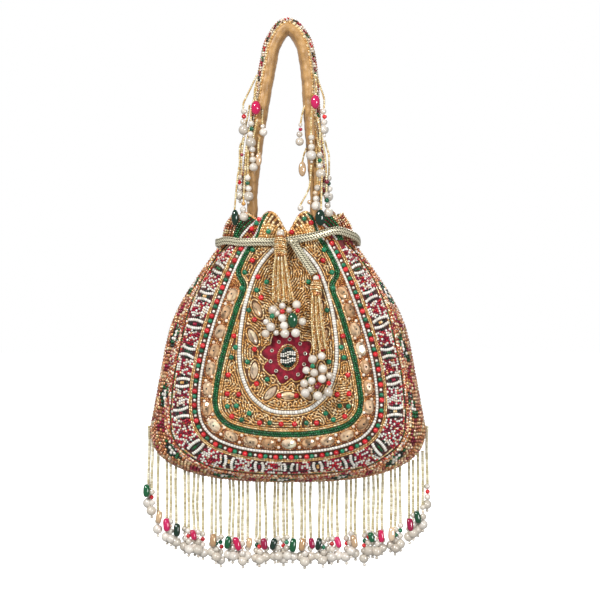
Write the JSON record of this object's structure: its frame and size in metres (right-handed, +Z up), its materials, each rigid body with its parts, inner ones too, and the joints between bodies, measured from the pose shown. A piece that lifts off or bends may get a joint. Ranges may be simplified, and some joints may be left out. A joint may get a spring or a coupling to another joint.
{
  "type": "potli bag",
  "caption": "Gathered drawstring pouch with all-over bead embroidery, a ruffled mouth, a beaded fringe, two bead tassels and a padded loop handle.",
  "frame": {"origin": "underside of the handle's arch at its top, in the middle of its depth, where a hand or a hook holds the bag", "axes": "+Z up out of the arch, +X to the right as the embroidered front is looked at, +Y to the back, so the front faces -Y"},
  "size_m": [0.2292, 0.1076, 0.4412],
  "materials": {
    "embroidery": "bead and zardozi embroidery on cloth",
    "lining": "matte woven lining",
    "handle_satin": "satin",
    "braid": "metallic flat braid",
    "gold_beads": "metallic gold seed beads",
    "pale_beads": "gloss seed beads",
    "pearl": "pearl gloss",
    "velvet": "velvet",
    "button": "gloss bead mosaic"
  },
  "bodies": {
    "bag": {"back_panel": "embroidery", "drawstring_knot": "braid", "drawstring_loop": "braid", "drawstring_tail": "braid", "flower_button_back": "button", "flower_button_front": "button", "flower_patch_back": "velvet", "flower_patch_front": "velvet", "fringe_string_01": "pale_beads", "fringe_string_02": "pale_beads", "fringe_string_03": "pale_beads", "fringe_string_04": "pale_beads", "fringe_string_05": "pale_beads", "fringe_string_06": "pale_beads", "fringe_string_07": "pale_beads", "fringe_string_08": "pale_beads", "fringe_string_09": "pale_beads", "fringe_string_10": "pale_beads", "fringe_string_11": "pale_beads", "fringe_string_12": "pale_beads", "fringe_string_13": "pale_beads", "fringe_string_14": "pale_beads", "fringe_string_15": "pale_beads", "fringe_string_16": "pale_beads", "fringe_string_17": "pale_beads", "fringe_string_18": "pale_beads", "fringe_string_19": "pale_beads", "fringe_string_20": "pale_beads", "fringe_string_21": "pale_beads", "fringe_string_22": "pale_beads", "fringe_string_23": "pale_beads", "fringe_string_24": "pale_beads", "fringe_string_25": "pale_beads", "fringe_string_26": "pale_beads", "fringe_string_27": "pale_beads", "fringe_string_28": "pale_beads", "fringe_string_29": "pale_beads", "fringe_string_30": "pale_beads", "fringe_string_31": "pale_beads", "fringe_string_32": "pale_beads", "front_panel": "embroidery", "handle_bead_band": "pale_beads", "handle_strap": "handle_satin", "handle_string_left_1": "pearl", "handle_string_left_2": "pearl", "handle_string_left_3": "pearl", "handle_string_left_4": "pearl", "handle_string_right_1": "pearl", "handle_string_right_2": "pearl", "handle_string_right_3": "pearl", "handle_string_right_4": "pearl", "lining": "lining"},
    "centre_tassel": {"centre_tassel_head": "gold_beads", "centre_tassel_pearls": "pearl", "centre_tassel_skirt": "gold_beads", "centre_tassel_top_bead": "pearl"},
    "side_tassel": {"side_tassel_head": "gold_beads", "side_tassel_pearls": "pearl", "side_tassel_skirt": "gold_beads", "side_tassel_top_bead": "pearl"}
  },
  "joints": [
    {"name": "centre_tassel_lift", "type": "hinge", "parent": "bag", "child": "centre_tassel", "pos_m": [-0.0056, -0.031, -0.16], "axis": [-1, 0, 0], "range_deg": [0, 60]},
    {"name": "side_tassel_lift", "type": "hinge", "parent": "bag", "child": "side_tassel", "pos_m": [0.022, -0.037, -0.195], "axis": [-1, 0, 0], "range_deg": [0, 60]}
  ]
}
